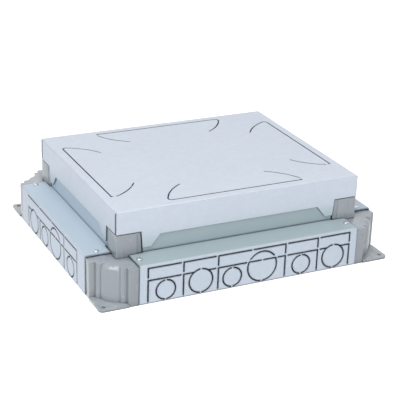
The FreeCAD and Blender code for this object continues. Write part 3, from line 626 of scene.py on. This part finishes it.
def pan_screw(name, head, shank, length, height=PAN_HEIGHT):
    """Pan-head screw with a cross recess, standing at the origin with its shank down."""
    deselect_all()
    bpy.ops.mesh.primitive_cylinder_add(vertices=32, radius=head / 2, depth=height,
                                        location=(0, 0, height / 2))
    piece = bpy.context.object
    piece.name = name
    settle(piece)
    # domed head: inset the top face twice and drop the rim
    select_faces(piece, lambda normal: normal.z > 0.9)
    bpy.ops.mesh.inset(thickness=head * 0.11)
    bpy.ops.mesh.inset(thickness=head * 0.15)
    bpy.ops.object.mode_set(mode="OBJECT")
    for vertex in piece.data.vertices:
        reach = math.hypot(vertex.co.x, vertex.co.y) / (head / 2)
        if vertex.co.z > height * 0.5:
            vertex.co.z = height * (1 - 0.42 * reach ** 3)
    # shank
    select_faces(piece, lambda normal: normal.z < -0.9)
    bpy.ops.mesh.inset(thickness=(head - shank) / 2)
    bpy.ops.mesh.extrude_region_move(TRANSFORM_OT_translate={"value": (0, 0, -length * 0.82)})
    bpy.ops.mesh.extrude_region_move(TRANSFORM_OT_translate={"value": (0, 0, -length * 0.18)})
    bpy.ops.transform.resize(value=(0.35, 0.35, 1), center_override=(0, 0, -length))
    bpy.ops.object.mode_set(mode="OBJECT")
    cut_cross(piece, head, height)
    smooth(piece, 40)
    return piece


def cut_cross(piece, head, height):
    """Cuts a tapered cross recess into a screw's head."""
    for turn in (0, 90):
        deselect_all()
        bpy.ops.mesh.primitive_cube_add(size=1, location=(0, 0, height * 0.75))
        blade = bpy.context.object
        blade.scale = (head * 0.56, head * 0.13, height * 1.1)
        settle(blade)
        select_faces(blade, lambda normal: normal.z < -0.9)
        bpy.ops.transform.resize(value=(0.45, 0.6, 1), center_override=(0, 0, height * 0.2))
        bpy.ops.object.mode_set(mode="OBJECT")
        blade.rotation_euler = (0, 0, math.radians(turn))
        cut_with(piece, settle(blade))


def cylinder(name, sides, diameter, foot, top):
    deselect_all()
    bpy.ops.mesh.primitive_cylinder_add(vertices=sides, radius=diameter / 2, depth=top - foot,
                                        location=(0, 0, (top + foot) / 2))
    piece = bpy.context.object
    piece.name = name
    return settle(piece)


def chamfer(piece, width, degrees):
    """Bevels the edges that turn by more than the given angle."""
    bevel = piece.modifiers.new("chamfer", "BEVEL")
    bevel.width = width
    bevel.segments = 2
    bevel.limit_method = "ANGLE"
    bevel.angle_limit = math.radians(degrees)
    apply_all(piece)


def cut_with(piece, tool):
    cut = piece.modifiers.new("cut", "BOOLEAN")
    cut.operation = "DIFFERENCE"
    cut.solver = "EXACT"
    cut.object = tool
    apply_all(piece)
    bpy.data.objects.remove(tool)


def thread_coil(diameter, pitch, foot, top):
    """Helical thread: a three-sided section swept up round the axis, closed at both ends."""
    depth = pitch * 0.5
    deselect_all()
    bpy.ops.mesh.primitive_circle_add(vertices=3, radius=depth, fill_type="NOTHING",
                                      location=(diameter / 2 - depth, 0, foot + depth),
                                      rotation=(math.pi / 2, math.pi / 2, 0))
    coil = settle(bpy.context.object)
    sweep = coil.modifiers.new("sweep", "SCREW")
    sweep.axis = "Z"
    sweep.angle = 2 * math.pi
    sweep.screw_offset = pitch
    sweep.iterations = int((top - foot - 2 * depth) / pitch)
    sweep.steps = sweep.render_steps = 14
    apply_all(coil)
    bpy.ops.object.mode_set(mode="EDIT")
    bpy.ops.mesh.select_all(action="SELECT")
    bpy.ops.mesh.fill_holes(sides=4)
    bpy.ops.mesh.select_all(action="SELECT")
    bpy.ops.mesh.normals_make_consistent(inside=False)
    bpy.ops.object.mode_set(mode="OBJECT")
    return coil


def hex_nut(name, flats, bore, foot, top):
    """Six-sided nut with chamfered ends and a bore."""
    nut = cylinder(name, 6, flats / math.cos(math.pi / 6), foot, top)
    chamfer(nut, flats * 0.05, 75)
    hole = cylinder("bore", 24, bore, foot - flats, top + flats)
    cut_with(nut, hole)
    smooth(nut, 30)
    return nut


def copied(piece, name, matrix):
    """Copy of a piece with its own mesh, put in place by a matrix."""
    twin = piece.copy()
    twin.data = piece.data.copy()
    twin.name = name
    bpy.context.scene.collection.objects.link(twin)
    twin.data.transform(matrix)
    twin.matrix_world = Matrix.Identity(4)
    return twin


def joined(pieces, name):
    deselect_all()
    for piece in pieces:
        piece.select_set(True)
    bpy.context.view_layer.objects.active = pieces[0]
    bpy.ops.object.join()
    pieces[0].name = name
    return pieces[0]


def standing_at(x, y, z, turn=0.0):
    return Matrix.Translation((x, y, z)) @ Matrix.Rotation(math.radians(turn), 4, "Z")


# ---------------------------------------------------------------- moulded corners

for corner in CORNERS:
    block = softened_copy("corner_block_" + corner, BLOCK_EDGE, segments=3)
    finish_piece(block, corner_plastic)
    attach(block, "base")
    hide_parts("corner_block_" + corner)
    post = softened_copy("corner_post_" + corner, POST_EDGE)
    finish_piece(post, post_plastic)
    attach(post, "levelling_frame")
    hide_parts("corner_post_" + corner)


# ---------------------------------------------------------------- screws

def ledge_screw_set():
    """Eight pan-head screws through the ledges into the corner blocks."""
    pattern = pan_screw("ledge_screw", LEDGE_SCREW_HEAD, LEDGE_SCREW_SHANK, LEDGE_SCREW_LENGTH)
    screws = []
    along_x, along_y = HALF_LENGTH - LEDGE_SCREW_PLACE, HALF_WIDTH - LEDGE_SCREW_DEPTH
    end_x, end_y = HALF_LENGTH - LEDGE_SCREW_DEPTH, HALF_WIDTH - LEDGE_SCREW_PLACE
    for index, (side_x, side_y) in enumerate(CORNERS.values()):
        screws.append(copied(pattern, "screw", standing_at(side_x * along_x, side_y * along_y, LEDGE_HEIGHT,
                                                           20 + 37 * index)))
        screws.append(copied(pattern, "screw", standing_at(side_x * end_x, side_y * end_y, LEDGE_HEIGHT,
                                                           60 + 23 * index)))
    bpy.data.objects.remove(pattern)
    return joined(screws, "ledge_pan_screws")


def post_screw_set():
    """Eight pan-head screws from inside the frame into the corner posts."""
    pattern = pan_screw("post_screw", POST_SCREW_HEAD, POST_SCREW_SHANK, POST_SCREW_LENGTH)
    screws = []
    for side_x, side_y in CORNERS.values():
        place = Vector((side_x * (HALF_LENGTH - POST_SCREW_PLACE), side_y * (HALF_WIDTH - POST_SCREW_FACE),
                        POST_SCREW_HEIGHT))
        lay = Matrix.Rotation(math.radians(90 * side_y), 4, "X")
        screws.append(copied(pattern, "screw", Matrix.Translation(place) @ lay))
        place = Vector((side_x * (HALF_LENGTH - POST_SCREW_FACE), side_y * (HALF_WIDTH - POST_SCREW_PLACE),
                        POST_SCREW_HEIGHT))
        lay = Matrix.Rotation(math.radians(-90 * side_x), 4, "Y")
        screws.append(copied(pattern, "screw", Matrix.Translation(place) @ lay))
    bpy.data.objects.remove(pattern)
    return joined(screws, "post_pan_screws")


def block_screw_set():
    """Four low-head screws that hold the corner blocks to the base plate."""
    pattern = pan_screw("block_screw", BLOCK_SCREW_HEAD, BLOCK_SCREW_SHANK, BLOCK_SCREW_LENGTH, LOW_HEIGHT)
    screws = []
    for index, (side_x, side_y) in enumerate(CORNERS.values()):
        place = standing_at(side_x * (HALF_LENGTH - BLOCK_SCREW_PLACE),
                            side_y * (HALF_WIDTH - BLOCK_SCREW_PLACE), BLOCK_SCREW_SEAT, 15 + 31 * index)
        screws.append(copied(pattern, "screw", place))
    bpy.data.objects.remove(pattern)
    return joined(screws, "block_low_screws")


for piece, body, node_name in ((ledge_screw_set(), "base", "ledge_screws"),
                               (block_screw_set(), "base", "block_screws"),
                               (post_screw_set(), "levelling_frame", "frame_corner_screws")):
    finish_piece(piece, bright_zinc)
    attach(piece, body)
    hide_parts(node_name)


# ---------------------------------------------------------------- levelling gear

def levelling_screw_pattern():
    """Threaded rod at the origin with a plain journal, a hexagonal collar and a slotted end."""
    collar_top = COLLAR_FOOT + COLLAR_HEIGHT
    end_foot = SCREW_TOP - END_LENGTH
    journal = cylinder("journal", 24, JOURNAL_DIAMETER, JOURNAL_FOOT, COLLAR_FOOT + 0.2 * MM)
    chamfer(journal, 0.4 * MM, 60)
    collar = cylinder("collar", 6, COLLAR_FLATS / math.cos(math.pi / 6), COLLAR_FOOT, collar_top)
    chamfer(collar, 0.3 * MM, 75)
    core = cylinder("core", 24, THREAD_DIAMETER - 1.1 * THREAD_PITCH, collar_top - 0.2 * MM,
                    end_foot + 0.1 * MM)
    end = cylinder("end", 24, THREAD_DIAMETER - 0.5 * THREAD_PITCH, end_foot, SCREW_TOP)
    chamfer(end, 0.5 * MM, 60)
    deselect_all()
    bpy.ops.mesh.primitive_cube_add(size=1, location=(0, 0, SCREW_TOP))
    blade = bpy.context.object
    blade.scale = (2 * THREAD_DIAMETER, DRIVE_SLOT, 2 * DRIVE_DEPTH)
    cut_with(end, settle(blade))
    thread = thread_coil(THREAD_DIAMETER, THREAD_PITCH, collar_top + 0.5 * MM, end_foot + 0.4 * MM)
    screw = joined([journal, collar, core, end, thread], "levelling_screw")
    smooth(screw, 35)
    return screw


def place_levelling_gear():
    pattern = levelling_screw_pattern()
    nut = hex_nut("levelling_nut", NUT_FLATS, THREAD_DIAMETER + 0.2 * MM, NUT_TOP - NUT_HEIGHT, NUT_TOP)
    nuts = []
    for corner, (side_x, side_y) in CORNERS.items():
        place = standing_at(side_x * (HALF_LENGTH - LEVELLING_PLACE),
                            side_y * (HALF_WIDTH - LEVELLING_PLACE), 0)
        screw = copied(pattern, "threaded_screw_" + corner, place)
        finish_piece(screw, dull_zinc)
        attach(screw, "screw_" + corner)
        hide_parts("levelling_screw_" + corner)
        nuts.append(copied(nut, "nut", place))
    bpy.data.objects.remove(pattern)
    bpy.data.objects.remove(nut)
    nuts = joined(nuts, "chamfered_levelling_nuts")
    finish_piece(nuts, dull_zinc)
    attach(nuts, "levelling_frame")
    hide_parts("levelling_nuts")


place_levelling_gear()


# ---------------------------------------------------------------- earth terminal

def earth_terminal():
    """Threaded stud with its washer and nut, on the front wall's flange."""
    stud_low, stud_high = map(Vector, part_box("earth_stud"))
    washer_low, washer_high = map(Vector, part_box("earth_washer"))
    nut_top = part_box("earth_nut")[1][2]
    centre = standing_at((stud_low.x + stud_high.x) / 2, (stud_low.y + stud_high.y) / 2, 0)
    stud_diameter = stud_high.x - stud_low.x
    washer_diameter = washer_high.x - washer_low.x
    core = cylinder("stud", 20, stud_diameter - 1.1 * EARTH_PITCH, stud_low.z, stud_high.z)
    chamfer(core, 0.3 * MM, 60)
    thread = thread_coil(stud_diameter, EARTH_PITCH, washer_high.z, stud_high.z - 0.4 * MM)
    stud = joined([core, thread], "threaded_earth_stud")
    washer = cylinder("pressed_earth_washer", 32, washer_diameter, washer_low.z, washer_high.z)
    chamfer(washer, 0.2 * MM, 60)
    cut_with(washer, cylinder("bore", 24, stud_diameter + 0.3 * MM, washer_low.z - MM, washer_high.z + MM))
    nut = hex_nut("chamfered_earth_nut", EARTH_NUT_FLATS, stud_diameter + 0.2 * MM, washer_high.z, nut_top)
    for piece, node_name in ((stud, "earth_stud"), (washer, "earth_washer"), (nut, "earth_nut")):
        piece.data.transform(centre)
        smooth(piece, 35)
        finish_piece(piece, yellow_zinc)
        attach(piece, "base")
        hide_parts(node_name)


earth_terminal()


# ---------------------------------------------------------------- floor, light and camera

def seen_or_mirrored(tree):
    """One for camera, glossy and transmission rays, and zero for the rays that light things."""
    rays = add(tree, "ShaderNodeLightPath")
    seen = math_node(tree, "MAXIMUM", rays.outputs["Is Camera Ray"], rays.outputs["Is Glossy Ray"])
    return math_node(tree, "MAXIMUM", seen, rays.outputs["Is Transmission Ray"])


def white_to_camera(tree, shader_output, strength):
    """Adds plain white for camera, glossy and transmission rays only."""
    seen = seen_or_mirrored(tree)
    glow = add(tree, "ShaderNodeEmission")
    glow.inputs["Color"].default_value = (1, 1, 1, 1)
    tree.links.new(math_node(tree, "MULTIPLY", seen, strength), glow.inputs["Strength"])
    both = add(tree, "ShaderNodeAddShader")
    tree.links.new(shader_output, both.inputs[0])
    tree.links.new(glow.outputs[0], both.inputs[1])
    return both.outputs[0]


def floor_material():
    material = bpy.data.materials.new("pale_floor")
    material.use_nodes = True
    tree = material.node_tree
    shader = tree.nodes["Principled BSDF"]
    shader.inputs["Base Color"].default_value = FLOOR_GREY
    shader.inputs["Roughness"].default_value = 0.9
    shader.inputs["Specular IOR Level"].default_value = 0.0
    output = tree.nodes["Material Output"]
    tree.links.new(white_to_camera(tree, shader.outputs[0], FLOOR_GLOW), output.inputs["Surface"])
    return material


deselect_all()
bpy.ops.mesh.primitive_plane_add(size=FLOOR_SIZE, location=(0, 0, -FLOOR_DROP))
floor = bpy.context.object
floor.name = "floor"
settle(floor)
finish_piece(floor, floor_material())


def studio_world():
    """Soft surroundings, brighter to the left; plain white where they are seen or mirrored."""
    world = bpy.data.worlds.new("studio")
    bpy.context.scene.world = world
    world.use_nodes = True
    sky = world.node_tree
    backdrop = sky.nodes["Background"]
    backdrop.inputs["Color"].default_value = (1.0, 1.0, 1.0, 1)
    direction = add(sky, "ShaderNodeTexCoord").outputs["Generated"]
    toward = add(sky, "ShaderNodeVectorMath", operation="DOT_PRODUCT")
    sky.links.new(direction, toward.inputs[0])
    toward.inputs[1].default_value = BRIGHT_SIDE
    lighting = spread(sky, toward.outputs["Value"], -1.0, 1.0, WORLD_DIM, WORLD_BRIGHT)
    sky.links.new(math_node(sky, "MAXIMUM", seen_or_mirrored(sky), lighting), backdrop.inputs["Strength"])


studio_world()


def area_light(name, place, target, size, power, colour):
    lamp = bpy.data.lights.new(name, "AREA")
    lamp.shape = "DISK"
    lamp.size = size
    lamp.energy = power
    lamp.color = colour
    holder = bpy.data.objects.new(name, lamp)
    bpy.context.scene.collection.objects.link(holder)
    holder.location = place
    holder.rotation_euler = (Vector(target) - Vector(place)).to_track_quat("-Z", "Y").to_euler()


for lamp_settings in LAMPS:
    area_light(*lamp_settings)

# camera: turned and raised about a point in the box, then shifted sideways and up a little
back = Vector((math.sin(AZIMUTH) * math.cos(ELEVATION), -math.cos(AZIMUTH) * math.cos(ELEVATION),
               math.sin(ELEVATION)))
right = Vector((math.cos(AZIMUTH), math.sin(AZIMUTH), 0))
up = back.cross(right)
camera_x = math.cos(ROLL) * right + math.sin(ROLL) * up
camera_y = -math.sin(ROLL) * right + math.cos(ROLL) * up
lens = bpy.data.cameras.new("camera")
lens.lens = LENS_LENGTH
lens.sensor_width = SENSOR_WIDTH
lens.clip_start = 0.01
camera = bpy.data.objects.new("camera", lens)
bpy.context.scene.collection.objects.link(camera)
spot = back * DISTANCE + right * SIDE_SHIFT + up * UP_SHIFT
camera.matrix_world = Matrix(((camera_x.x, camera_y.x, back.x, spot.x),
                              (camera_x.y, camera_y.y, back.y, spot.y),
                              (camera_x.z, camera_y.z, back.z, spot.z),
                              (0, 0, 0, 1)))
bpy.context.scene.camera = camera
bpy.context.scene.view_settings.view_transform = "Standard"

deselect_all()
bpy.context.view_layer.update()
